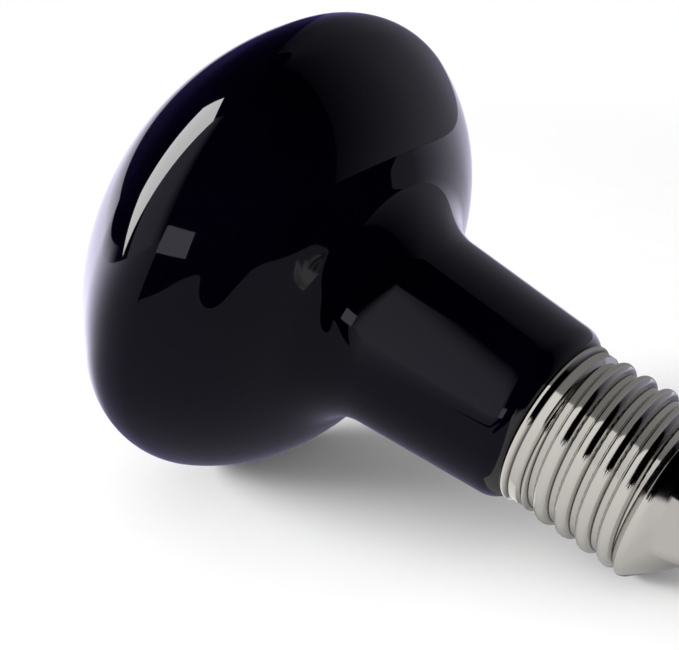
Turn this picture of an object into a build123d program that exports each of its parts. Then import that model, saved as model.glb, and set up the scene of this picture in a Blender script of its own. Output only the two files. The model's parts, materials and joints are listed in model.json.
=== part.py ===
"""A reflector heat lamp, lying on its side: a blown glass bulb cemented into a metal screw cap.

Along the lamp, lengths run from the cap's rim: positive towards the bulb's face, negative towards
the contact. The lamp rests on the widest ring of its head and on the end of its cap, so its axis
rises from the cap (+X) to the head (-X), and the floor is Z = 0.
"""

import os
from math import acos, asin, atan2, cos, degrees, hypot, radians, sin, tan

from build123d import *

# Glass bulb, in millimetres and degrees
head_diameter = 81.0
face_crown_radius = 47.0
equator_radius = 10.0
flank_radius = 30.0
flank_blend_angle = 28.0
flank_angle = 65.0
throat_radius = 11.0
throat_margin = 0.5
equator_from_rim = 54.2
neck_diameter = 29.4
neck_taper = 4.6
shoulder_radius = 4.0
seat_depth = 9.0
seat_lead_in = 1.6
exhaust_tip_diameter = 4.4
exhaust_tip_length = 3.5

# Screw shell
thread_diameter = 26.4
thread_pitch = 3.629
thread_depth = 1.1
thread_groove_width = 1.0
thread_flank_angle = 60.0
thread_length = 16.2
thread_run_out = 1.5
shell_wall = 0.35
skirt_step = 0.7
skirt_length = 2.6
skirt_ramp = 0.6
rim_bead_radius = 0.45
rim_bead_bevel = 40.0
rim_bead_roll = 85.0
shoulder_ramp = 1.1
cap_shoulder_radius = 1.6
cone_angle = 44.0
cone_end_diameter = 14.4

# Insulator, contact, solder, cement and lead wires
insulator_thickness = 3.4
insulator_nose = 1.2
insulator_nose_bevel = 0.6
wire_hole_diameter = 3.0
contact_diameter = 9.6
contact_thickness = 0.7
contact_edge_bevel = 0.25
contact_hole_diameter = 2.4
solder_diameter = 4.6
solder_height = 0.8
cement_length = 6.6
cement_thickness = 0.85
lead_diameter = 0.8
centre_lead_offset = 3.8
side_lead_offset = 6.5
side_lead_drop = 3.6
rim_gap = 0.15
seat_clearance = 0.03

# Radii worked out from the diameters
head_radius = head_diameter / 2
neck_radius = neck_diameter / 2
tip_radius = exhaust_tip_diameter / 2
crest_radius = thread_diameter / 2
root_radius = crest_radius - thread_depth
skirt_radius = root_radius + skirt_step
bore_radius = root_radius - shell_wall
seat_radius = bore_radius - cement_thickness
mouth_radius = skirt_radius - shell_wall
cone_end_radius = cone_end_diameter / 2
contact_radius = contact_diameter / 2
solder_radius = solder_diameter / 2
wire_hole_radius = wire_hole_diameter / 2
contact_hole_radius = contact_hole_diameter / 2
stem_radius = contact_hole_radius - seat_clearance
cement_inner_radius = seat_radius + seat_clearance
lead_radius = lead_diameter / 2

# Places along the glass
face_turn = degrees(asin((head_radius - equator_radius) / (face_crown_radius - equator_radius)))
crown_centre = equator_from_rim - (face_crown_radius - equator_radius) * cos(radians(face_turn))
face_pole = crown_centre + face_crown_radius
taper = radians(neck_taper)
shoulder_slope = acos(cos(taper) - (neck_radius - mouth_radius) / shoulder_radius)
shoulder_start = rim_gap + shoulder_radius * (sin(shoulder_slope) - sin(taper))
tip_end = -seat_depth - exhaust_tip_length

# Places along the cap
cone_slope = radians(cone_angle)
thread_start = -skirt_length
mouth_end = thread_start + skirt_ramp
bead_front_radius = skirt_radius + rim_bead_radius * tan(radians(rim_bead_bevel / 2))
bead_end = rim_bead_radius * (1 / cos(radians(rim_bead_bevel + rim_bead_roll)) - 1)
thread_end = thread_start - thread_length
shoulder_centre = thread_end - shoulder_ramp
shoulder_centre_radius = crest_radius - cap_shoulder_radius
cone_start = shoulder_centre - cap_shoulder_radius * sin(cone_slope)
cone_start_radius = shoulder_centre_radius + cap_shoulder_radius * cos(cone_slope)
cone_end = cone_start - (cone_start_radius - cone_end_radius) / tan(cone_slope)
lip_inside = cone_end + shell_wall * sin(cone_slope)
lip_radius = cone_end_radius - shell_wall * cos(cone_slope)
cone_bore_end = lip_inside + (bore_radius - lip_radius) / tan(cone_slope)
insulator_top = cone_end + insulator_thickness
insulator_top_radius = lip_radius + (insulator_top - lip_inside) * tan(cone_slope) - seat_clearance
nose_radius = lip_radius - seat_clearance
nose_shoulder = lip_inside
nose_end = cone_end - insulator_nose
contact_end = nose_end - contact_thickness
solder_dome_radius = (solder_radius**2 + solder_height**2) / (2 * solder_height)
solder_dome_centre = contact_end - solder_height + solder_dome_radius
solder_turn = degrees(asin(solder_radius / solder_dome_radius))
cement_start = -seat_lead_in - seat_clearance
cement_end = cement_start - cement_length
centre_lead_bend = tip_end - lead_diameter
side_lead_weld = -seat_depth - side_lead_drop

# Rest: the line that touches the equator's arc and the cap shoulder's arc is the floor
rest_run = equator_from_rim - shoulder_centre
rest_rise = (head_radius - equator_radius) - shoulder_centre_radius
rest_tilt = atan2(rest_rise, rest_run) + asin(
    (equator_radius - cap_shoulder_radius) / hypot(rest_run, rest_rise)
)
along = cos(rest_tilt)
lift = sin(rest_tilt)
rim_height = shoulder_centre_radius * along + cap_shoulder_radius - shoulder_centre * lift

# The lamp's two ends along X, from which the origin is centred between them
face_reach = crown_centre * along + face_crown_radius
contact_reach = max(
    (contact_radius - contact_edge_bevel) * lift - contact_end * along,
    contact_radius * lift - (contact_end + contact_edge_bevel) * along,
    solder_dome_radius - solder_dome_centre * along,
)
rim_centre = Vector((face_reach - contact_reach) / 2, 0, rim_height)

# One meridian plane and one axis carry every turned piece
to_face = Vector(-along, 0, lift)
meridian = Plane(origin=rim_centre, x_dir=to_face, z_dir=(0, 1, 0))
lamp_axis = Axis(rim_centre, to_face)

os.makedirs("parts", exist_ok=True)

# Glass bulb: blown in one piece and sealed, with its neck drawn in to sit inside the cap
with BuildPart() as glass_bulb:
    with BuildSketch(meridian):
        with BuildLine():
            face = JernArc((face_pole, 0), (0, 1), face_crown_radius, face_turn)
            equator = JernArc(face @ 1, face % 1, equator_radius, 90 - face_turn + flank_blend_angle)
            flank = JernArc(equator @ 1, equator % 1, flank_radius, flank_angle - flank_blend_angle)
            neck_guide = PolarLine(
                (shoulder_start, neck_radius), equator_from_rim, neck_taper, mode=Mode.PRIVATE
            )
            flank_line = IntersectingLine(flank @ 1, flank % 1, neck_guide)
            neck = Line(flank_line @ 1, neck_guide @ 0)
            shoulder = JernArc(neck @ 1, neck % 1, shoulder_radius, degrees(shoulder_slope - taper))
            Polyline(
                shoulder @ 1,
                (-seat_lead_in, seat_radius),
                (-seat_depth, seat_radius),
                (-seat_depth, tip_radius),
                (tip_end, tip_radius),
                (tip_end, 0),
                face @ 0,
            )
        glass_face = make_face()
        throat_corner = glass_face.vertices().sort_by_distance(flank_line @ 1)[0]
        throat_reach = tan(radians(flank_angle - neck_taper) / 2)
        fillet(throat_corner, min(throat_radius, (flank_line.length - throat_margin) / throat_reach))
    revolve(axis=lamp_axis)
glass_bulb.part.label = "glass_bulb"
export_step(glass_bulb.part, "parts/glass_bulb.step")

# Screw shell: the thread's rounded ridge is swept along a helix and cut back to a slope at both ends,
# then joined to the drawn sheet, which has a rolled rim, a plain skirt and a cone that grips the
# insulator
ridge_slope = radians(thread_flank_angle)
ridge_foot = (thread_pitch - thread_groove_width) / 2
ridge_crest_radius = (ridge_foot - thread_depth / tan(ridge_slope)) / (
    sin(ridge_slope) - (1 - cos(ridge_slope)) / tan(ridge_slope)
)
flank_top = ridge_crest_radius * sin(ridge_slope)
flank_height = thread_depth - ridge_crest_radius * (1 - cos(ridge_slope))
ridge_sink = shell_wall / 2
ridge_base = ridge_foot + ridge_sink / tan(ridge_slope)
ridge_head = thread_start + thread_pitch
ridge_tail = shoulder_centre - thread_pitch
trim_radius = crest_radius + thread_depth
trim_reach = thread_run_out * (trim_radius - bore_radius) / (crest_radius - bore_radius)

with BuildPart() as screw_shell:
    with BuildLine() as thread_path:
        Helix(
            pitch=thread_pitch,
            height=thread_length + shoulder_ramp + thread_pitch,
            radius=root_radius,
            center=meridian.from_local_coords((shoulder_centre - thread_pitch / 2, 0)),
            direction=to_face,
        )
    path_start = thread_path.line @ 0
    path_heading = thread_path.line % 0
    path_radial = path_start - lamp_axis.position - to_face * (path_start - lamp_axis.position).dot(to_face)
    with BuildSketch(Plane(path_start, x_dir=path_radial.cross(path_heading), z_dir=path_heading)):
        with BuildLine():
            crest = ThreePointArc((-flank_top, flank_height), (0, thread_depth), (flank_top, flank_height))
            Polyline(crest @ 1, (ridge_base, -ridge_sink), (-ridge_base, -ridge_sink), crest @ 0)
        make_face()
    sweep(path=thread_path.line, is_frenet=True)
    with BuildSketch(meridian):
        with BuildLine():
            Polyline(
                (ridge_head, bore_radius),
                (thread_start, bore_radius),
                (thread_start - trim_reach, trim_radius),
                (ridge_head, trim_radius),
                close=True,
            )
        make_face()
    revolve(axis=lamp_axis, mode=Mode.SUBTRACT)
    with BuildSketch(meridian):
        with BuildLine():
            Polyline(
                (ridge_tail, bore_radius),
                (shoulder_centre, bore_radius),
                (shoulder_centre + trim_reach, trim_radius),
                (ridge_tail, trim_radius),
                close=True,
            )
        make_face()
    revolve(axis=lamp_axis, mode=Mode.SUBTRACT)
    with BuildSketch(meridian):
        with BuildLine():
            bead = CenterArc(
                (-rim_bead_radius, skirt_radius), rim_bead_radius, rim_bead_bevel, rim_bead_roll
            )
            skirt = Polyline(
                bead @ 1,
                (bead_end, skirt_radius),
                (thread_start, skirt_radius),
                (thread_start - skirt_ramp, root_radius),
                (thread_end, root_radius),
                (shoulder_centre, crest_radius),
            )
            cap_shoulder = JernArc(skirt @ 1, (-1, 0), cap_shoulder_radius, cone_angle)
            Polyline(
                cap_shoulder @ 1,
                (cone_end, cone_end_radius),
                (lip_inside, lip_radius),
                (cone_bore_end, bore_radius),
                (thread_start, bore_radius),
                (mouth_end, mouth_radius),
                (0, mouth_radius),
                (0, bead_front_radius),
                bead @ 0,
            )
        make_face()
    revolve(axis=lamp_axis)
screw_shell.part.label = "screw_shell"
export_step(screw_shell.part, "parts/screw_shell.step")

# Insulator: dark glass pressed into the cone, with a nose that comes out through the lip
with BuildPart() as insulator:
    with BuildSketch(meridian):
        with BuildLine():
            Polyline(
                (insulator_top, wire_hole_radius),
                (insulator_top, insulator_top_radius),
                (nose_shoulder, nose_radius),
                (nose_end, nose_radius),
                (nose_end, wire_hole_radius),
                close=True,
            )
        insulator_face = make_face()
        nose_corner = insulator_face.vertices().sort_by_distance((nose_end, nose_radius))[0]
        chamfer(nose_corner, insulator_nose_bevel)
    revolve(axis=lamp_axis)
insulator.part.label = "insulator"
export_step(insulator.part, "parts/insulator.step")

# Contact plate: a disc with an eyelet hole, flat on the insulator's nose
with BuildPart() as contact_plate:
    with BuildSketch(meridian):
        with BuildLine():
            Polyline(
                (nose_end, contact_hole_radius),
                (nose_end, contact_radius),
                (contact_end, contact_radius),
                (contact_end, contact_hole_radius),
                close=True,
            )
        plate_face = make_face()
        plate_corner = plate_face.vertices().sort_by_distance((contact_end, contact_radius))[0]
        chamfer(plate_corner, contact_edge_bevel)
    revolve(axis=lamp_axis)
contact_plate.part.label = "contact_plate"
export_step(contact_plate.part, "parts/contact_plate.step")

# Solder: a drop on the contact plate, with a stem that fills the eyelet down to the lead wire
with BuildPart() as contact_solder:
    with BuildSketch(meridian):
        with BuildLine():
            drop = JernArc((contact_end - solder_height, 0), (0, 1), solder_dome_radius, -solder_turn)
            Polyline(
                drop @ 1,
                (contact_end, stem_radius),
                (nose_end, stem_radius),
                (nose_end, 0),
                drop @ 0,
            )
        make_face()
    revolve(axis=lamp_axis)
contact_solder.part.label = "contact_solder"
export_step(contact_solder.part, "parts/contact_solder.step")

# Cement: the ring that holds the glass seat inside the shell
with BuildPart() as capping_cement:
    with BuildSketch(meridian):
        with BuildLine():
            Polyline(
                (cement_start, cement_inner_radius),
                (cement_start, mouth_radius - seat_clearance),
                (mouth_end, mouth_radius - seat_clearance),
                (thread_start, bore_radius - seat_clearance),
                (cement_end, bore_radius - seat_clearance),
                (cement_end, cement_inner_radius),
                close=True,
            )
        make_face()
    revolve(axis=lamp_axis)
capping_cement.part.label = "capping_cement"
export_step(capping_cement.part, "parts/capping_cement.step")

# Lead wires: one from the glass to the solder's stem, one from the glass to the shell's wall
with BuildPart() as centre_lead:
    with BuildLine(meridian) as centre_path:
        Polyline(
            (-seat_depth, centre_lead_offset),
            (centre_lead_bend, centre_lead_offset),
            (insulator_top, 0),
            (nose_end, 0),
        )
    with BuildSketch(Plane(centre_path.line @ 0, z_dir=-to_face)):
        Circle(lead_radius)
    sweep(path=centre_path.line, transition=Transition.RIGHT)
centre_lead.part.label = "centre_lead"
export_step(centre_lead.part, "parts/centre_lead.step")

with BuildPart() as side_lead:
    with BuildLine(meridian) as side_path:
        Polyline(
            (-seat_depth, -side_lead_offset),
            (side_lead_weld, -side_lead_offset),
            (side_lead_weld, seat_clearance - bore_radius),
        )
    with BuildSketch(Plane(side_path.line @ 0, z_dir=-to_face)):
        Circle(lead_radius)
    sweep(path=side_path.line, transition=Transition.RIGHT)
side_lead.part.label = "side_lead"
export_step(side_lead.part, "parts/side_lead.step")
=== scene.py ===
# %% [markdown]
# # A dark reflector heat lamp, lying on its side
# A blown glass bulb with a dark violet coat is cemented into a rolled nickel screw cap. The lamp lies on a
# white studio sweep. This first step loads the imported solids, which fix the size and the place of every
# piece.

# %% Load the frame
import json
import math

import bmesh
import bpy
import numpy as np
from mathutils import Matrix, Vector


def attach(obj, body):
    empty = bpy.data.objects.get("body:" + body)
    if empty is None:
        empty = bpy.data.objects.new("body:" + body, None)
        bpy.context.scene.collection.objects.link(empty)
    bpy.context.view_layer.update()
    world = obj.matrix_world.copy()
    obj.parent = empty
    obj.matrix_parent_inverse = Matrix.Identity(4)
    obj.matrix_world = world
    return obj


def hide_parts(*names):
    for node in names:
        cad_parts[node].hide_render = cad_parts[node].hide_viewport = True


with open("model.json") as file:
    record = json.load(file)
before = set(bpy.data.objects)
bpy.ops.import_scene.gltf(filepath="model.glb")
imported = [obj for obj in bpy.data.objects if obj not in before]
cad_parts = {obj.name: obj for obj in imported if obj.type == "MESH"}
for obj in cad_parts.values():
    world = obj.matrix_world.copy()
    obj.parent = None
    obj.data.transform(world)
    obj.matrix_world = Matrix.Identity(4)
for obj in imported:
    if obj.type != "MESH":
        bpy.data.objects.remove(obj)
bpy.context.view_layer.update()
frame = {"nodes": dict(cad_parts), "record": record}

nodes = frame["nodes"]
print("solids:", sorted(nodes))

# %% [markdown]
# ## The lamp's own axis
# Every piece of a lamp is turned about one axis, which leans here because the lamp rests on the rim of its
# head and on the end of its cap. It could be worked out from the tilt, but the record already says where
# the centre contact is and which way it points. The cap's rim is the highest point of the screw shell along
# that axis, and all lengths below run from it: positive towards the face, negative towards the contact.
# Meshes are made upright in this frame and then laid in place, so that the box of a mesh is the box of the
# piece as it lies.

# %% Find the axis and the cap's rim
MM = 0.001
contact = next(m for m in frame["record"]["mounts"] if m["name"] == "centre_contact")
to_face = -Vector(contact["axis"]).normalized()
contact_tip = Vector(contact["pos_m"])


def along_axis(node):
    """Each vertex of a solid as a distance along the axis, a radius and an angle round it."""
    points = np.array([v.co for v in nodes[node].data.vertices])
    local = (points - np.array(rim_centre)) @ np.array(lamp_turn)
    return local[:, 2], np.hypot(local[:, 0], local[:, 1]), np.arctan2(local[:, 1], local[:, 0])


shell_reach = max((v.co - contact_tip).dot(to_face) for v in nodes["screw_shell"].data.vertices)
rim_centre = contact_tip + to_face * shell_reach
across = Vector((0, 1, 0))
lamp_turn = Matrix((across.cross(to_face), across, to_face)).transposed()
lamp_frame = Matrix.Translation(rim_centre) @ lamp_turn.to_4x4()
print("axis leans", round(math.degrees(math.asin(to_face.z)), 2), "degrees, rim at", rim_centre[:])

# %% [markdown]
# ## Turned pieces
# A turned piece is one outline spun about the axis. Blender has a Screw modifier for that, but a mirror
# finish shows every uneven facet, so here the rings of points are placed directly and the quads between
# them are written out. An outline is a list of (distance along the axis, radius) pairs in millimetres, and
# arcs are sampled by their angle.

# %% Helpers for outlines and turned meshes
def arc(centre, radius, start, end, steps):
    """Points on an arc; its angles are in degrees from the face's direction."""
    turns = np.radians(np.linspace(start, end, steps))
    return [(centre[0] + radius * math.cos(t), centre[1] + radius * math.sin(t)) for t in turns]


def straight(start, end, steps):
    """Points on a straight run, without its two ends."""
    shares = np.linspace(0, 1, steps + 2)[1:-1]
    return [(start[0] + (end[0] - start[0]) * k, start[1] + (end[1] - start[1]) * k) for k in shares]


def spin(outline, columns):
    """An outline spun about the axis, as three grids: distances, radii and angles."""
    outline = np.array(outline)
    shape = (len(outline), columns)
    angles = np.linspace(0, 2 * math.pi, columns, endpoint=False)[None, :]
    distances = np.broadcast_to(outline[:, :1], shape).copy()
    radii = np.broadcast_to(outline[:, 1:], shape).copy()
    return distances, radii, np.broadcast_to(angles, shape)


def skin(distances, radii, angles, looped):
    """Points and quads for a grid of rings; a looped grid joins its last ring to its first."""
    rows, columns = radii.shape
    points = np.stack([radii * np.cos(angles), radii * np.sin(angles), distances], axis=-1)
    row = np.arange(rows if looped else rows - 1)
    near = row[:, None] * columns
    far = ((row + 1) % rows)[:, None] * columns
    here = np.arange(columns)
    following = np.roll(here, -1)
    quads = np.stack([near + here, near + following, far + following, far + here], axis=-1)
    return points.reshape(-1, 3) * MM, quads.reshape(-1, 4).tolist()


def add_piece(name, points, faces, slot_name, replaced):
    """Lay a mesh in the lamp's frame, shade it smoothly, and let it ride in place of a solid."""
    mesh = bpy.data.meshes.new(name)
    mesh.from_pydata(points, [], faces)
    mesh.transform(lamp_frame)
    outward = bmesh.new()
    outward.from_mesh(mesh)
    bmesh.ops.recalc_face_normals(outward, faces=outward.faces)
    outward.to_mesh(mesh)
    outward.free()
    mesh.shade_smooth()
    mesh.set_sharp_from_angle(angle=math.radians(35))
    piece = bpy.data.objects.new(name, mesh)
    bpy.context.scene.collection.objects.link(piece)
    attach(piece, "root")
    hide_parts(replaced)
    print(name, "has", len(mesh.polygons), "faces")
    return piece


def turned_piece(name, outline, columns, slot_name, replaced, ripple=None):
    """Spin an outline. One that starts and ends on the axis gets a pole at each end; any other is a ring."""
    looped = outline[0][1] > 0
    distances, radii, angles = spin(outline if looped else outline[1:-1], columns)
    if ripple:
        ripple(distances, radii, angles)
    points, faces = skin(distances, radii, angles, looped)
    if not looped:
        start = len(points)
        last = start - columns
        points = np.vstack([points, [(0, 0, outline[0][0] * MM), (0, 0, outline[-1][0] * MM)]])
        for column in range(columns):
            following = (column + 1) % columns
            faces.append((start, following, column))
            faces.append((start + 1, last + column, last + following))
    return add_piece(name, points, faces, slot_name, replaced)


# %% [markdown]
# ## The glass bulb
# The bulb is blown into a mould: a shallow domed face, a tight roll at its widest ring, a round flank, and a
# throat that runs into a slightly tapered neck. Tangent arcs give the smooth stream of highlights that blown
# glass has, where a spline through a few points would wobble. The outline goes on into the cap, where the
# neck is drawn in to its seat and the sealed exhaust tip.

# %% Outline of the glass
head_radius = 40.5
crown_radius = 47.0
roll_radius = 10.0
flank_radius = 30.0
throat_radius = 11.0
roll_from_rim = 54.2
neck_radius = 14.7
neck_taper = math.radians(4.6)
shoulder_radius = 4.0
shoulder_start = 3.43
mouth_radius = 12.45
seat_radius = 10.9
seat_start = -1.6
seat_end = -9.0
tip_radius = 2.2
tip_end = -12.5
# The roll and the flank end at these angles, in degrees
roll_end = 118.0
flank_end = 155.0

roll_centre = (roll_from_rim, head_radius - roll_radius)
face_turn = math.degrees(math.asin(roll_centre[1] / (crown_radius - roll_radius)))
crown_centre = (roll_from_rim - (crown_radius - roll_radius) * math.cos(math.radians(face_turn)), 0.0)
flank_shift = flank_radius - roll_radius
flank_centre = (
    roll_centre[0] - flank_shift * math.cos(math.radians(roll_end)),
    roll_centre[1] - flank_shift * math.sin(math.radians(roll_end)),
)
# The throat's arc touches the flank's straight run and the neck's straight run on their outer sides
flank_normal = np.array([math.cos(math.radians(flank_end)), math.sin(math.radians(flank_end))])
neck_normal = np.array([-math.sin(neck_taper), math.cos(neck_taper)])
flank_foot = np.array(flank_centre) + flank_radius * flank_normal
neck_foot = np.array([shoulder_start, neck_radius])
throat_centre = np.linalg.solve(
    np.array([flank_normal, neck_normal]),
    np.array([flank_normal @ flank_foot + throat_radius, neck_normal @ neck_foot + throat_radius]),
)
throat_start = throat_centre - throat_radius * flank_normal
throat_end = throat_centre - throat_radius * neck_normal
neck_turn = 90 + math.degrees(neck_taper)
shoulder_centre = neck_foot - shoulder_radius * neck_normal
mouth_turn = 90 + math.degrees(math.acos((mouth_radius - shoulder_centre[1]) / shoulder_radius))

glass_outline = arc(crown_centre, crown_radius, 0, face_turn, steps=64)
glass_outline += arc(roll_centre, roll_radius, face_turn, roll_end, steps=56)[1:]
glass_outline += arc(flank_centre, flank_radius, roll_end, flank_end, steps=34)[1:]
glass_outline += straight(flank_foot, throat_start, steps=6)
glass_outline += arc(throat_centre, throat_radius, flank_end + 180, neck_turn + 180, steps=40)
glass_outline += straight(throat_end, neck_foot, steps=16)
glass_outline += arc(shoulder_centre, shoulder_radius, neck_turn, mouth_turn, steps=14)
glass_outline += [(seat_start, seat_radius), (seat_end, seat_radius)]
glass_outline += [(seat_end, tip_radius), (tip_end, tip_radius), (tip_end, 0.0)]

glass = turned_piece("night_glass_bulb", glass_outline, 256, "night_glass", "glass_bulb")

# %% [markdown]
# A finer mesh must not change the object's size, so the outline is measured against the solid that it
# stands for: each vertex of the solid should lie on the outline to within a few hundredths of a millimetre.

# %% Compare the outline with the solid
def off_outline(node, outline):
    """The largest distance, in millimetres, from a solid's vertices to an outline."""
    distances, radii, _ = along_axis(node)
    here = np.stack([distances, radii], axis=-1)[:, None, :] / MM
    starts = np.array(outline[:-1])[None]
    runs = np.array(outline[1:])[None] - starts
    share = np.clip(((here - starts) * runs).sum(-1) / np.maximum((runs * runs).sum(-1), 1e-12), 0, 1)
    gaps = np.linalg.norm(here - starts - share[..., None] * runs, axis=-1)
    return gaps.min(axis=1).max()


print("glass outline is off the solid by at most", round(off_outline("glass_bulb", glass_outline), 4), "mm")

# %% [markdown]
# ## The screw cap
# The cap is thin nickel-plated sheet, rolled between two wheels, so its thread is a row of soft round ridges
# with narrow grooves. It could be a profile swept along a helix, but the ridge has to fade into the plain
# skirt above and the cone below. So the cap is a dense grid of rings, and each point is lifted by the height
# of the ridge at its distance and angle. The ridge's phase is read from the solid's own crest, so the fine
# thread lies exactly where the solid's thread is.

# %% Read the thread's phase from the solid
pitch = 3.629
crest_radius = 13.2
root_radius = 12.1
ridge_depth = crest_radius - root_radius
crest_band = 0.02
full_thread_end = -17.0
full_thread_start = -6.5
shell_s, shell_r, shell_angle = along_axis("screw_shell")
shell_s, shell_r = shell_s / MM, shell_r / MM
on_crest = shell_r > crest_radius - crest_band
on_crest &= (shell_s > full_thread_end) & (shell_s < full_thread_start)
best_hand, best_phase, best_hold = 0, 0.0, 0.0
for hand in (1, -1):
    turns = 2 * math.pi * shell_s[on_crest] / pitch - hand * shell_angle[on_crest]
    mean = np.exp(1j * turns).mean()
    if abs(mean) > best_hold:
        best_hand, best_phase, best_hold = hand, float(np.angle(mean)), abs(mean)
print("thread hand", best_hand, "phase", round(best_phase, 3), "agreement", round(best_hold, 3))

# %% [markdown]
# The ridge has a round crown and straight flanks that are tangent to it. Its crown's radius follows from the
# depth, the flanks' slope and the width of the groove. Where two heights meet, a soft maximum makes the small
# fillet that rolling leaves.

# %% Height of the thread's ridge
groove_width = 1.0
flank_slope = math.radians(60)
ridge_foot = (pitch - groove_width) / 2
ridge_round = (ridge_foot - ridge_depth / math.tan(flank_slope)) / (
    math.sin(flank_slope) - (1 - math.cos(flank_slope)) / math.tan(flank_slope)
)
flank_top = ridge_round * math.sin(flank_slope)


def from_crest(distances, angles):
    """How far a point lies from the nearest crest along the axis; negative on the contact's side."""
    turns = 2 * math.pi * distances / pitch - best_hand * angles - best_phase
    return ((turns / (2 * math.pi) + 0.5) % 1.0 - 0.5) * pitch


def ridge_height(distances, angles):
    """How far the ridge stands above the thread's root; negative in the grooves."""
    offset = np.abs(from_crest(distances, angles))
    crown = ridge_depth - ridge_round + np.sqrt(np.maximum(ridge_round**2 - offset**2, 0))
    flank = (ridge_foot - offset) * math.tan(flank_slope)
    return np.where(offset < flank_top, crown, flank)


def soft_max(a, b, width):
    """The larger of two heights, with a small rolled fillet where they meet."""
    share = np.clip(0.5 + 0.5 * (a - b) / width, 0, 1)
    return b + (a - b) * share + width * share * (1 - share)


def soft_min(a, b, width):
    """The smaller of two heights, rounded in the same way."""
    return -soft_max(-a, -b, width)


print("the ridge's crown has a radius of", round(ridge_round, 3), "mm")

# %% [markdown]
# The sheet's outline runs from the mouth over the rolled rim, down the skirt, along the thread's root and the
# cone to the lip, and back up the bore. Only its outer side gets the ridge.

# %% Outline of the cap's sheet
skirt_radius = 12.8
skirt_ramp = 0.6
bore_radius = 11.75
bead_radius = 0.45
bead_lean = 20.0
bead_turn = 125.0
mouth_end = -2.0
thread_start = -2.6
thread_end = -18.8
cone_top = -19.9
cone_round = 1.6
cone_angle = math.radians(44)
cone_end = (-26.76, 7.2)
sheet = 0.35

bead_front = skirt_radius + bead_radius * math.tan(math.radians(bead_lean))
bead_foot = (bead_radius * (1 / math.cos(math.radians(bead_turn)) - 1), skirt_radius)
skirt_end = (thread_start, skirt_radius)
thread_top = (thread_start - skirt_ramp, root_radius)
thread_foot = (thread_end, root_radius)
cone_turn = 90 + math.degrees(cone_angle)
lip = (cone_end[0] + sheet * math.sin(cone_angle), cone_end[1] - sheet * math.cos(cone_angle))
cone_inside = (lip[0] + (bore_radius - lip[1]) / math.tan(cone_angle), bore_radius)
mouth_inside = (mouth_end, mouth_radius)
mouth_edge = (0.0, mouth_radius)

shell_outline = [mouth_inside] + straight(mouth_inside, mouth_edge, steps=2)
shell_outline += [mouth_edge] + straight(mouth_edge, (0.0, bead_front), steps=2)
shell_outline += arc((-bead_radius, skirt_radius), bead_radius, bead_lean, bead_turn, steps=22)
shell_outline += [bead_foot] + straight(bead_foot, skirt_end, steps=18) + [skirt_end]
shell_outline += straight(skirt_end, thread_top, steps=10) + [thread_top]
shell_outline += straight(thread_top, thread_foot, steps=220) + [thread_foot]
shell_outline += straight(thread_foot, (cone_top, crest_radius), steps=18)
shell_outline += arc((cone_top, crest_radius - cone_round), cone_round, 90, cone_turn, steps=16)
shell_outline += straight(shell_outline[-1], cone_end, steps=18) + [cone_end]
shell_outline += [lip, cone_inside, (thread_start, bore_radius)]
print("the sheet's outline has", len(shell_outline), "points")

# %% [markdown]
# Each point of the outer side is lifted to the ridge, which runs out into the skirt at one end and into the
# cone at the other.

# %% Roll the thread into the cap
margin = 0.01
run_out_length = 1.5
run_out_fillet = 0.35
foot_fillet = 0.06
distances, radii, angles = spin(shell_outline, 256)
plain = radii.copy()
threaded = plain > root_radius - margin
threaded &= (distances < thread_start + margin) & (distances > cone_top - margin)
run_out = run_out_length / (crest_radius - bore_radius)
lift = root_radius + ridge_height(distances, angles)
lift = soft_min(lift, bore_radius + (thread_start - distances) / run_out, run_out_fillet)
lift = soft_min(lift, bore_radius + (distances - cone_top) / run_out, run_out_fillet)
radii[threaded] = np.minimum(soft_max(lift, plain, foot_fillet), crest_radius)[threaded]
shell = add_piece("nickel_screw_shell", *skin(distances, radii, angles, True), "nickel", "screw_shell")
deepest = float((crest_radius - radii[threaded]).max())
print("the deepest groove lies", round(deepest, 3), "mm under the crest")

# %% [markdown]
# Painted shade darkens the creases where a ridge meets the groove's floor, more on the contact's side of
# each ridge, and a line under the rolled rim. How deep each point lies, and how near to a crease, is stored
# on the mesh as one layer of painted shade for the finish to use.

# %% Store where the creases are
crease_width = 0.14
contact_side_crease = 1.6
face_side_crease = 0.4
groove_shade = 0.1
rim_width = 0.12
depth_share = np.clip((crest_radius - radii) / ridge_depth, 0, 1)
groove = np.where(threaded, groove_shade * depth_share, 0.0)
crease_depth = np.where(from_crest(distances, angles) < 0, contact_side_crease, face_side_crease)
crease = np.clip(crease_depth * np.exp(-(((lift - plain) / crease_width) ** 2)), 0, 1) * threaded
on_skirt = np.abs(plain - skirt_radius) < rim_width
under_rim = np.exp(-(((distances - bead_foot[0]) / rim_width) ** 2)) * on_skirt
# Painted shade for the creases, the grooves and the line under the rim, in one layer.
painted_shade = np.maximum(np.maximum(groove, crease), under_rim)
painted_shade_layer = shell.data.attributes.new("painted_shade", "FLOAT", "POINT")
painted_shade_layer.data.foreach_set("value", painted_shade.reshape(-1).astype(np.float32))
print("share of points in a crease:", round(float((painted_shade > 0.5).mean()), 3))

# %% [markdown]
# ## The contact end
# The photograph leaves this end out, so it is finished as such caps are: black glass pressed into the cone,
# a stamped brass plate on its nose, and a drop of solder over the eyelet. They are turned too, with the tiny
# edge radii that pressing and stamping leave, which the solids have as plain bevels.

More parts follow.
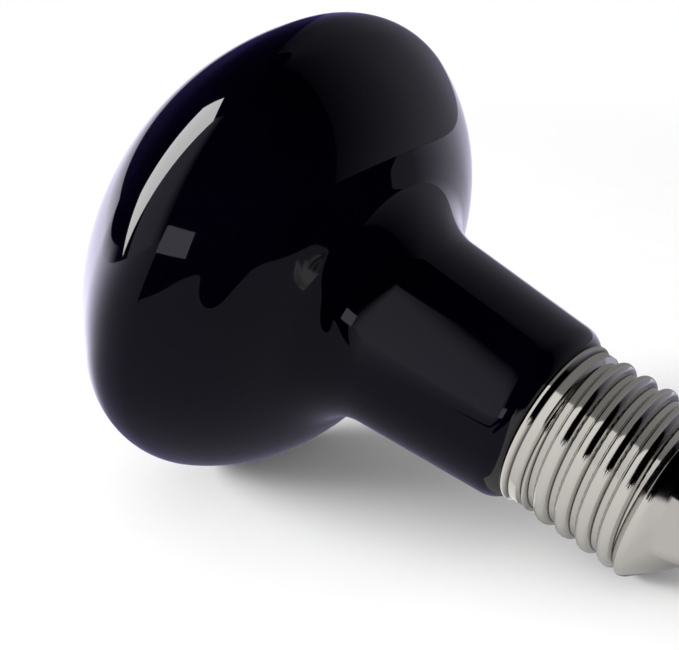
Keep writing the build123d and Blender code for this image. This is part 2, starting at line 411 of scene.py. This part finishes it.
# %% Insulator
nose_end = -27.96
plate_end = -28.66
insulator_top = -23.36
insulator_edge = (-23.45, 9.9)
insulator_flat = 9.6
nose_start = (-26.52, 6.92)
nose_round = 0.6
nose_flat = 5.2
nose_radius = nose_start[1]
wire_hole = 1.5
insulator_outline = [(insulator_top, wire_hole), (insulator_top, insulator_flat), insulator_edge]
insulator_outline += straight(insulator_edge, nose_start, steps=12) + [nose_start]
insulator_outline += straight(nose_start, (nose_end + nose_round, nose_radius), steps=4)
insulator_outline += arc((nose_end + nose_round, nose_radius - nose_round), nose_round, 90, 180, steps=14)
insulator_outline += [(nose_end, nose_flat), (nose_end, wire_hole)]
insulator = turned_piece("black_glass_insulator", insulator_outline, 128, "black_glass", "insulator")

# %% Contact plate
plate_radius = 4.8
plate_flat = 4.6
plate_hole = 1.2
back_round = 0.12
front_round = 0.25
ring_outside = 3.4
ring_middle = 3.1
ring_inside = 2.8
ring_depth = 0.06
plate_outline = [(nose_end, plate_hole), (nose_end, plate_flat)]
plate_outline += arc((nose_end - back_round, plate_radius - back_round), back_round, 0, 90, steps=6)
plate_outline += arc((plate_end + front_round, plate_radius - front_round), front_round, 90, 180, steps=10)
plate_outline += [(plate_end, ring_outside), (plate_end + ring_depth, ring_middle)]
plate_outline += [(plate_end, ring_inside), (plate_end, plate_hole)]
plate = turned_piece("brass_contact_plate", plate_outline, 128, "brass", "contact_plate")

# %% Drop of solder
drop_height = 0.8
drop_width = 2.3
drop_foot = 2.2
stem_radius = 1.17
unevenness = 0.05


def frozen_drop(distances, radii, angles):
    """Solder freezes in a slightly lopsided drop with a faintly uneven top."""
    out = np.clip(radii / drop_width, 0, 1)
    radii *= 1 - unevenness * out * (0.6 + 0.4 * np.cos(angles + 0.7) + 0.3 * np.cos(3 * angles))
    distances += unevenness * (1 - out) * np.cos(2 * angles) * out


drop_radius = (drop_width**2 + drop_height**2) / (2 * drop_height)
drop_centre = (plate_end - drop_height + drop_radius, 0.0)
drop_turn = math.degrees(math.asin(drop_width / drop_radius))
solder_outline = [(nose_end, 0.0), (nose_end, stem_radius), (plate_end, stem_radius), (plate_end, drop_foot)]
solder_outline += arc(drop_centre, drop_radius, 180 - drop_turn, 180, steps=24)
solder = turned_piece("solder_drop", solder_outline, 96, "solder", "contact_solder", frozen_drop)


# %% [markdown]
# ## Finishes
# Each finish is one Principled shader with its detail made from noise in the object's own space. Small
# helpers add a noise, spread two tones over it for a colour or a roughness, or let it stand proud as a bump.

# %% Helpers for finishes
def new_finish(name):
    """A node material and its Principled shader."""
    finish = bpy.data.materials.new(name)
    finish.use_nodes = True
    return finish, finish.node_tree.nodes["Principled BSDF"]


def grain(shader, scale, detail, squeeze=(1, 1, 1), turn=(0, 0, 0)):
    """Noise in the object's own space, which may be turned and then squeezed along its axes."""
    tree = shader.id_data
    place = tree.nodes.new("ShaderNodeTexCoord")
    mapping = tree.nodes.new("ShaderNodeMapping")
    mapping.vector_type = "TEXTURE"
    mapping.inputs["Rotation"].default_value = turn
    mapping.inputs["Scale"].default_value = squeeze
    noise = tree.nodes.new("ShaderNodeTexNoise")
    noise.inputs["Scale"].default_value = scale
    noise.inputs["Detail"].default_value = detail
    tree.links.new(place.outputs["Object"], mapping.inputs["Vector"])
    tree.links.new(mapping.outputs["Vector"], noise.inputs["Vector"])
    return noise.outputs["Fac"]


def spread(shader, socket, value, low, high, low_at=0.35, high_at=0.65):
    """Spread two colours, or two greys, over a value and feed them to one socket of the shader."""
    tree = shader.id_data
    band = tree.nodes.new("ShaderNodeValToRGB")
    for stop, position, tone in zip(band.color_ramp.elements, (low_at, high_at), (low, high)):
        colour = tone if isinstance(tone, tuple) else (tone, tone, tone)
        stop.position = position
        stop.color = (*colour, 1)
    tree.links.new(value, band.inputs["Fac"])
    tree.links.new(band.outputs["Color"], shader.inputs[socket])


def bump(shader, value, depth, strength):
    """Let a value stand proud of the surface by a depth in metres."""
    tree = shader.id_data
    raised = tree.nodes.new("ShaderNodeBump")
    raised.inputs["Distance"].default_value = depth
    raised.inputs["Strength"].default_value = strength
    tree.links.new(value, raised.inputs["Height"])
    tree.links.new(raised.outputs["Normal"], shader.inputs["Normal"])


def dress(piece, finish):
    """Give a piece or a solid one finish."""
    piece.data.materials.clear()
    piece.data.materials.append(finish)
    print(piece.name, "is finished in", finish.name)


# %% [markdown]
# ### Night glass
# The bulb is clear glass under a baked coat so deep a violet that it looks black, with a mirror gloss. Its
# body colour is only seen where no light is mirrored. The coat is never quite even, so its colour drifts
# slowly, its gloss drifts a little more finely, and the blown wall has a faint wave. A trace of violet sheen
# shows where the coat is seen edge on.

# %% Night glass
finish, shader = new_finish("night_glass")
coat = grain(shader, scale=38, detail=3)
spread(shader, "Base Color", coat, (0.0002, 0.00012, 0.0008), (0.0004, 0.00026, 0.0018))
gloss = grain(shader, scale=150, detail=4)
spread(shader, "Roughness", gloss, 0.018, 0.05)
wave = grain(shader, scale=26, detail=1)
bump(shader, wave, depth=0.0006, strength=0.02)
shader.inputs["IOR"].default_value = 1.5
shader.inputs["Sheen Weight"].default_value = 0.1
shader.inputs["Sheen Roughness"].default_value = 0.25
shader.inputs["Sheen Tint"].default_value = (0.35, 0.25, 1.0, 1)
dress(glass, finish)

# %% [markdown]
# ### Nickel
# Rolled sheet keeps fine lines that run round the cap, so a noise is squeezed along the axis to make them.
# The plate is satin rather than mirror bright, so it softens the edges of what it mirrors. The layer of
# painted shade darkens the creases, and the grooves a little.

# %% Nickel
finish, shader = new_finish("nickel")
lines = grain(shader, scale=90, detail=3, squeeze=(1, 1, 1 / 60), turn=lamp_turn.to_euler())
painted_shade_node = shader.id_data.nodes.new("ShaderNodeAttribute")
painted_shade_node.attribute_name = "painted_shade"
bare_nickel = (0.67, 0.655, 0.63)
shaded_nickel = (0.05, 0.047, 0.045)
# Painted shade: the layer turns the nickel near black in the creases and under the rim.
spread(shader, "Base Color", painted_shade_node.outputs["Fac"], bare_nickel, shaded_nickel, low_at=0.0, high_at=1.0)
spread(shader, "Roughness", lines, 0.08, 0.15)
bump(shader, lines, depth=0.00003, strength=0.25)
shader.inputs["Metallic"].default_value = 1.0
dress(shell, finish)

# %% [markdown]
# ### The contact end and the hidden pieces
# Pressed black glass, stamped brass and frozen solder each get their own noise. The cement and the two lead
# wires are sealed inside the cap, but a library part may be taken apart, so they are finished as well.

# %% Black glass
finish, shader = new_finish("black_glass")
swirl = grain(shader, scale=420, detail=4)
spread(shader, "Base Color", swirl, (0.006, 0.006, 0.008), (0.02, 0.019, 0.026))
spread(shader, "Roughness", swirl, 0.08, 0.22)
bump(shader, swirl, depth=0.0002, strength=0.12)
shader.inputs["IOR"].default_value = 1.5
dress(insulator, finish)

# %% Brass
finish, shader = new_finish("brass")
tarnish = grain(shader, scale=300, detail=5)
spread(shader, "Base Color", tarnish, (0.50, 0.33, 0.13), (0.80, 0.61, 0.30))
spread(shader, "Roughness", tarnish, 0.34, 0.18)
scratch = grain(shader, scale=1500, detail=3)
bump(shader, scratch, depth=0.00004, strength=0.3)
shader.inputs["Metallic"].default_value = 1.0
dress(plate, finish)

# %% Solder
finish, shader = new_finish("solder")
crystal = grain(shader, scale=900, detail=5)
spread(shader, "Base Color", crystal, (0.46, 0.46, 0.47), (0.70, 0.70, 0.71))
spread(shader, "Roughness", crystal, 0.42, 0.24)
bump(shader, crystal, depth=0.00012, strength=0.35)
shader.inputs["Metallic"].default_value = 1.0
dress(solder, finish)

# %% Cement
finish, shader = new_finish("cement")
grit = grain(shader, scale=1100, detail=6)
spread(shader, "Base Color", grit, (0.46, 0.42, 0.35), (0.70, 0.66, 0.57))
bump(shader, grit, depth=0.0002, strength=0.5)
shader.inputs["Roughness"].default_value = 0.9
dress(nodes["capping_cement"], finish)

# %% Lead wires
finish, shader = new_finish("lead_wire")
drawn = grain(shader, scale=1400, detail=3, squeeze=(10, 1, 1))
spread(shader, "Base Color", drawn, (0.42, 0.36, 0.31), (0.66, 0.60, 0.54))
spread(shader, "Roughness", drawn, 0.38, 0.22)
shader.inputs["Metallic"].default_value = 1.0
dress(nodes["centre_lead"], finish)
dress(nodes["side_lead"], finish)

# %% [markdown]
# ## The camera
# The photograph looks down at the lamp from the cap's side, from quite near, so the cap looks large. The
# camera is placed by its direction and distance from a point inside the head. The lens has no shift, so the
# other views stay centred.

# %% Camera
def direction(azimuth, elevation):
    """A unit vector; azimuth 0 points to -Y and 90 to +X."""
    a, e = math.radians(azimuth), math.radians(elevation)
    return Vector((math.sin(a) * math.cos(e), -math.cos(a) * math.cos(e), math.sin(e)))


view_target = Vector((-0.01354, -0.00178, 0.028))
view_distance = 0.22518
back = direction(36.98, 16.75)
camera_data = bpy.data.cameras.new("photo_camera")
camera_data.lens = 74.1
camera_data.sensor_width = 36.0
camera_data.clip_start = 0.01
camera = bpy.data.objects.new("photo_camera", camera_data)
bpy.context.scene.collection.objects.link(camera)
camera.location = view_target + back * view_distance
camera.rotation_euler = back.to_track_quat("Z", "Y").to_euler()
bpy.context.scene.camera = camera
print("camera at", [round(x, 4) for x in camera.location])

# %% [markdown]
# ## The floor
# The lamp lies on a pale sweep that runs out to pure white. A plain lit sheet would turn grey far from the
# lamps, so with distance the floor's shader passes into an even white glow. The glow is shown to the camera
# and to rays that glass and metal mirror or pass on, and it lights nothing. Near the lamp the floor is only
# lit, so it keeps the lamp's shadow.

# %% Floor
floor_mesh = bpy.data.meshes.new("pale_floor")
floor_reach = 6.0
floor_corners = [(-1, -1), (1, -1), (1, 1), (-1, 1)]
floor_points = [(x * floor_reach, y * floor_reach, 0.0) for x, y in floor_corners]
floor_mesh.from_pydata(floor_points, [], [(0, 1, 2, 3)])
floor = bpy.data.objects.new("pale_floor", floor_mesh)
bpy.context.scene.collection.objects.link(floor)
print("the floor reaches", floor_reach, "metres each way")


def shown_rays(tree):
    """One for rays from the camera, from a mirror or through glass, and nought for the rest."""
    path = tree.nodes.new("ShaderNodeLightPath")
    seen = path.outputs["Is Camera Ray"]
    for kind in ("Is Glossy Ray", "Is Transmission Ray"):
        either = tree.nodes.new("ShaderNodeMath")
        either.operation = "MAXIMUM"
        tree.links.new(seen, either.inputs[0])
        tree.links.new(path.outputs[kind], either.inputs[1])
        seen = either.outputs["Value"]
    return seen


# %% The floor's paper
glow_starts = 0.16
glow_is_full = 0.55
finish, shader = new_finish("pale_floor")
tree = shader.id_data
paper = grain(shader, scale=60, detail=4)
spread(shader, "Base Color", paper, (0.874, 0.874, 0.878), (0.882, 0.882, 0.884))
shader.inputs["Roughness"].default_value = 0.9
shader.inputs["Specular IOR Level"].default_value = 0.1
place = tree.nodes.new("ShaderNodeTexCoord")
far = tree.nodes.new("ShaderNodeVectorMath")
far.operation = "LENGTH"
tree.links.new(place.outputs["Object"], far.inputs[0])
fade = tree.nodes.new("ShaderNodeMapRange")
fade.interpolation_type = "SMOOTHSTEP"
fade.inputs["From Min"].default_value = glow_starts
fade.inputs["From Max"].default_value = glow_is_full
tree.links.new(far.outputs["Value"], fade.inputs["Value"])
glow_share = tree.nodes.new("ShaderNodeMath")
glow_share.operation = "MULTIPLY"
tree.links.new(fade.outputs["Result"], glow_share.inputs[0])
tree.links.new(shown_rays(tree), glow_share.inputs[1])
white = tree.nodes.new("ShaderNodeEmission")
blend = tree.nodes.new("ShaderNodeMixShader")
tree.links.new(glow_share.outputs["Value"], blend.inputs["Fac"])
tree.links.new(shader.outputs["BSDF"], blend.inputs[1])
tree.links.new(white.outputs["Emission"], blend.inputs[2])
tree.links.new(blend.outputs["Shader"], tree.nodes["Material Output"].inputs["Surface"])
dress(floor, finish)

# %% [markdown]
# The world is the same white for those rays, and a soft even light for the rest.

# %% World
world = bpy.data.worlds.new("studio")
bpy.context.scene.world = world
world.use_nodes = True
tree = world.node_tree
soft_light = tree.nodes["Background"]
soft_light.inputs["Color"].default_value = (1, 1, 1, 1)
soft_light.inputs["Strength"].default_value = 0.56
white_sky = tree.nodes.new("ShaderNodeBackground")
white_sky.inputs["Color"].default_value = (1, 1, 1, 1)
white_sky.inputs["Strength"].default_value = 1.0
sky_mix = tree.nodes.new("ShaderNodeMixShader")
tree.links.new(shown_rays(tree), sky_mix.inputs["Fac"])
tree.links.new(soft_light.outputs["Background"], sky_mix.inputs[1])
tree.links.new(white_sky.outputs["Background"], sky_mix.inputs[2])
tree.links.new(sky_mix.outputs["Shader"], tree.nodes["World Output"].inputs["Surface"])
print("the world's soft light has a strength of", round(soft_light.inputs["Strength"].default_value, 2))

# %% [markdown]
# ## The lights
# A wide softbox stands low at the front left, so the head's soft shadow falls to the right and behind, under
# the neck and the cap. It is far enough away to light the floor evenly. A second one, low beside the camera,
# fills the floor under the head and the cap, so that their shadow stays soft and light. Mirrored rays do not
# see the lights themselves: a card below gives the crescent on the head its outline.


# %% Softboxes
def softbox(name, towards, distance, width, height, brightness):
    """A rectangular light that faces the lamp, and that neither the camera nor a mirrored ray sees."""
    light = bpy.data.lights.new(name, "AREA")
    light.shape = "RECTANGLE"
    light.size = width
    light.size_y = height
    light.energy = brightness * math.pi * width * height
    box = bpy.data.objects.new(name, light)
    bpy.context.scene.collection.objects.link(box)
    box.location = towards * distance
    box.rotation_euler = towards.to_track_quat("Z", "Y").to_euler()
    box.visible_camera = False
    box.visible_glossy = False
    print(name, "stands at", [round(x, 3) for x in box.location])


softbox("wide_softbox", direction(-56, 15), distance=1.4, width=1.2, height=0.4, brightness=34.0)
softbox("low_fill", direction(37, 10), distance=0.9, width=1.6, height=0.3, brightness=5.0)

# %% [markdown]
# ## Cards for the reflections
# A mirror-black bulb shows the studio more than itself, so the studio's dark and dim sides matter as much as
# its light. Photographers place black and grey cards just outside the picture for this. Here each card is a
# sheet that only mirrored rays can see: it shapes the reflections, casts no shadow and never gets into a
# picture, whichever way the camera looks.


# %% Helpers for cards
def card(name, points, faces, glow, tint=(0.88, 0.85, 1.0), one_sided=False):
    """A sheet that shows only in reflections; its glow is one level, or a level for each point.

    A one-sided card is clear from behind.
    """
    mesh = bpy.data.meshes.new(name)
    mesh.from_pydata(points, [], faces)
    levels = mesh.attributes.new("glow", "FLOAT", "POINT")
    levels.data.foreach_set("value", np.broadcast_to(np.float32(glow), len(points)).copy())
    sheet = bpy.data.objects.new(name, mesh)
    bpy.context.scene.collection.objects.link(sheet)
    sheet.visible_camera = False
    sheet.visible_diffuse = False
    sheet.visible_transmission = False
    sheet.visible_shadow = False
    finish = bpy.data.materials.new(name)
    finish.use_nodes = True
    tree = finish.node_tree
    tree.nodes.remove(tree.nodes["Principled BSDF"])
    light = tree.nodes.new("ShaderNodeEmission")
    light.inputs["Color"].default_value = (*tint, 1)
    level = tree.nodes.new("ShaderNodeAttribute")
    level.attribute_name = "glow"
    tree.links.new(level.outputs["Fac"], light.inputs["Strength"])
    surface = light.outputs["Emission"]
    if one_sided:
        side = tree.nodes.new("ShaderNodeNewGeometry")
        clear = tree.nodes.new("ShaderNodeBsdfTransparent")
        mix = tree.nodes.new("ShaderNodeMixShader")
        tree.links.new(side.outputs["Backfacing"], mix.inputs["Fac"])
        tree.links.new(surface, mix.inputs[1])
        tree.links.new(clear.outputs["BSDF"], mix.inputs[2])
        surface = mix.outputs["Shader"]
    tree.links.new(surface, tree.nodes["Material Output"].inputs["Surface"])
    mesh.materials.append(finish)
    print(name, "has", len(points), "points")


def grid_faces(columns, rows):
    """Quads of a sheet whose points are listed column by column."""
    faces = []
    for column in range(columns - 1):
        for row in range(rows - 1):
            first = column * rows + row
            faces.append((first, first + rows, first + rows + 1, first + 1))
    return faces


head_middle = Vector((-0.042, -0.033, 0.058))


def sky_card(name, distance, azimuths, lower, upper, glow, top_share=1.0):
    """A curved card round the head between two elevations, given once or for each azimuth.

    Its glow at the top may be a share of that at the bottom.
    """
    rows = 10
    columns = len(azimuths)
    points = []
    for azimuth, low, high in zip(azimuths, np.broadcast_to(lower, columns), np.broadcast_to(upper, columns)):
        points += [head_middle + direction(azimuth, e) * distance for e in np.linspace(low, high, rows)]
    levels = np.outer(np.broadcast_to(glow, columns), np.linspace(1, top_share, rows))
    card(name, points, grid_faces(columns, rows), levels.reshape(-1))


# %% [markdown]
# The black canopy is the unlit room, and comes down to the floor all round.

# %% Black canopy
sky_card("black_canopy", 3.0, np.linspace(-180, 180, 73), lower=-4.0, upper=90.0, glow=0.0)

# %% [markdown]
# Light spills over the floor on the left, brightest beside the head, and dies away towards the front. The
# sheet that shows it is a fan round the head, so one formula in the azimuth gives its level. Under the head,
# where the floor is in shade, it is dim all round.

# %% Light spilt on the floor
spill_azimuth = -80.0
spill_spread = 36.0
spill_peak = 2.8
shade_level = 0.18
fan_centre = (-0.05, -0.01)
fan_lift = 0.0003
fan_tint = (0.85, 0.82, 1.0)
fan_azimuths = np.linspace(-150, 210, 181)
fan_radii = np.concatenate([[0.0], np.geomspace(0.005, 3.0, 40)])
spill = spill_peak * np.exp(-(((fan_azimuths - spill_azimuth) / spill_spread) ** 2))
fan_level = np.interp(fan_azimuths, [-150, 20, 140, 180, 210], [0.95, 0.25, 0.2, 1.2, 0.95]) + spill
fan_reach = np.interp(fan_radii, [0.01, 0.06], [0.0, 1.0])
fan_glow = np.outer(fan_level, fan_reach) + shade_level * (1 - fan_reach)
fan_x = fan_centre[0] + np.outer(np.sin(np.radians(fan_azimuths)), fan_radii)
fan_y = fan_centre[1] - np.outer(np.cos(np.radians(fan_azimuths)), fan_radii)
fan_points = np.stack([fan_x, fan_y, np.full(fan_x.shape, fan_lift)], axis=-1).reshape(-1, 3)
card("floor_spill", fan_points, grid_faces(*fan_x.shape), fan_glow.reshape(-1), fan_tint)

# %% [markdown]
# On the left the spilt light goes on into a low band on the wall, which widens the bright line round the
# head. It starts at the floor's own level, so that no seam shows, and ends softly towards the front.

# %% Pale band on the wall
band_azimuths = np.linspace(-143, -44, 34)
band_glow = np.interp(band_azimuths, fan_azimuths, fan_level)
band_glow *= np.interp(band_azimuths, [-64, -46], [1, 0])
sky_card("pale_band", 2.8, band_azimuths, lower=-2.5, upper=5.0, glow=band_glow, top_share=0.4)

# %% [markdown]
# On the right the floor ends in black a little way from the lamp. The wavy line across the head's lower half
# and along the neck is the mirror image of that edge, so its corners are cut again and again until it flows.


# %% Black mat on the floor
def rounded(corners, rounds):
    """An open line with its corners cut until it is a smooth curve."""
    line = np.array(corners)
    for _ in range(rounds):
        early = 0.75 * line[:-1] + 0.25 * line[1:]
        late = 0.25 * line[:-1] + 0.75 * line[1:]
        cut = np.stack([early, late], axis=1).reshape(-1, 2)
        line = np.vstack([line[:1], cut, line[-1:]])
    return line


mat_lift = 0.0012
mat_reach = 3.0
mat_corners = [(-0.016, -0.112), (0.01, -0.116), (0.041, -0.128), (0.068, -0.121), (0.029, -0.083)]
mat_corners += [(0.023, -0.061), (0.056, -0.063), (0.094, -0.060), (0.1, -0.024), (0.108, 0.01)]
mat_corners += [(0.115, 0.035), (0.13, 0.07), (0.2, 0.15)]
mat_edge = rounded(mat_corners, 3)
mat_points = []
for (x, y), azimuth in zip(mat_edge, np.linspace(20, 135, len(mat_edge))):
    out = direction(azimuth, 0) * mat_reach
    mat_points += [(x, y, mat_lift), (x + out.x, y + out.y, mat_lift)]
card("black_mat", mat_points, grid_faces(len(mat_edge), 2), 0.0)

# %% [markdown]
# The crescent's card has the outline of the softbox's window and hangs close to the head, so that the cap
# barely mirrors it. A dim strip gives the soft glow next to the crescent and the tall patch on the neck. A
# small panel near the camera shows as a bright patch on the head, the throat and the neck. A large dim card
# at the back lifts the upper right of the head and greys the top of the cap.

# %% Softbox window
window_glow = 10.5
window_points = [(-0.037, -0.053, 0.158), (-0.017, -0.080, 0.151), (-0.082, -0.123, 0.047)]
window_points += [(-0.096, -0.094, 0.096), (-0.067, -0.054, 0.150)]
card("softbox_window", window_points, [tuple(range(len(window_points)))], window_glow, (1, 1, 1))

# %% Strip, panel and back card
strip_azimuths = np.linspace(-26, 19, 19)
strip_tops = np.linspace(60, 62, 19)
strip_glow = np.interp(strip_azimuths, [-26, 5, 19], [0.6, 0.48, 0.0])
sky_card("dim_strip", 1.2, strip_azimuths, lower=-1.9, upper=strip_tops, glow=strip_glow)

panel_glow = 1.1
panel_points = [(0.052, -0.235, 0.066), (0.109, -0.197, 0.042)]
panel_points += [(0.090, -0.195, 0.003), (0.036, -0.242, 0.020)]
card("small_panel", panel_points, [(0, 1, 2, 3)], panel_glow)

back_azimuths = np.linspace(105, 217, 29)
back_glow = np.interp(back_azimuths, [105, 150, 185, 217], [0.05, 0.37, 0.36, 0.13])
sky_card("back_card", 1.6, back_azimuths, lower=-1.0, upper=76.0, glow=back_glow, top_share=0.25)

# %% [markdown]
# ## Bounce cards for the cap
# The cap gets its own warm white cards, as on a real table. Each faces the cap and is clear from behind, so
# little but the nickel mirrors it. Two stand across the lamp at the cap's rim: a light one for the front and
# a grey one for the top, and the line between them is the edge where the cap turns from light to dark.


# %% Cards across the rim
warm_white = (1, 0.985, 0.96)


def bounce_card(name, places, levels):
    """A warm card, clear from behind, from pairs of points in the lamp's frame in millimetres."""
    points = [lamp_frame @ (Vector(place) * MM) for place in places]
    card(name, points, grid_faces(len(points) // 2, 2), levels, warm_white, one_sided=True)


rim_gap = 0.3
rim_reach = 150.0
rim_start = np.array([9.5, -8.6])
rim_line = np.array([0.87, -0.42])
rim_across = np.array([-0.42, -0.87])
for name, side, near_glow, far_glow in (("white_bounce", 1, 0.9, 0.45), ("grey_bounce", -1, 0.2, 0.4)):
    ends = [rim_start + rim_line * rim_reach * end for end in (side, -side)]
    ends += [end + rim_across * rim_reach * side for end in ends]
    bounce_card(name, [(*end, rim_gap) for end in ends], [near_glow, near_glow, far_glow, far_glow])

# %% [markdown]
# Three more fill the lower half of the rolls and the cone. One lies under the cap and darkens inwards, so the
# cap's underside turns away into shade. One is a part of a ring round the contact, no wider than the cap,
# which hides it from the head. The last stands in front of the cap and has a torn upper edge, so the dark
# streaks on the rolls end raggedly.

# %% Card under the cap
rim_drop = -17.5
contact_drop = -6.0
contact_place = -33.0
under_sides = np.array([17.0, -4.0, -8.0, -10.5, -13.0])
under_levels = np.interp(under_sides, [-13, -10.5, -8, -4], [0.66, 0.62, 0.48, 0.3])
under_places = []
for side in under_sides:
    under_places += [(rim_drop, side, rim_gap), (contact_drop, side, contact_place)]
bounce_card("under_bounce", under_places, np.repeat(under_levels, 2))

# %% Ring round the contact
ring_place = -27.2
ring_radii = (7.4, 12.3)
ring_turns = np.linspace(-58, -230, 40)
ring_levels = np.interp(ring_turns, [-200, -155, -120], [0.3, 0.4, 0.68])
ring_places = []
for turn in np.radians(ring_turns):
    ring_places += [(r * math.cos(turn), r * math.sin(turn), ring_place) for r in ring_radii]
bounce_card("cone_bounce", ring_places, np.repeat(ring_levels, 2))

# %% Torn card in front
edge_height = 5.6
front_places = np.linspace(-0.3, -45.0, 130)
torn_edge = edge_height + 0.8 * np.sin(3.1 * front_places) + 0.6 * np.sin(7.7 * front_places)
top_side = -14.6
foot = (-20.0, -11.0)
foot_level = 0.52
top_levels = np.interp(front_places, [-28, -21], [0.74, 0.86])
front_points = []
front_levels = []
for place, edge, level in zip(front_places, torn_edge, top_levels):
    front_points += [(edge, top_side, place), (*foot, place)]
    front_levels += [level, foot_level]
bounce_card("front_bounce", front_points, front_levels)

# %% [markdown]
# ## The view
# The colours are shown as they are written, with the Standard view.

# %% View
bpy.context.scene.view_settings.view_transform = "Standard"
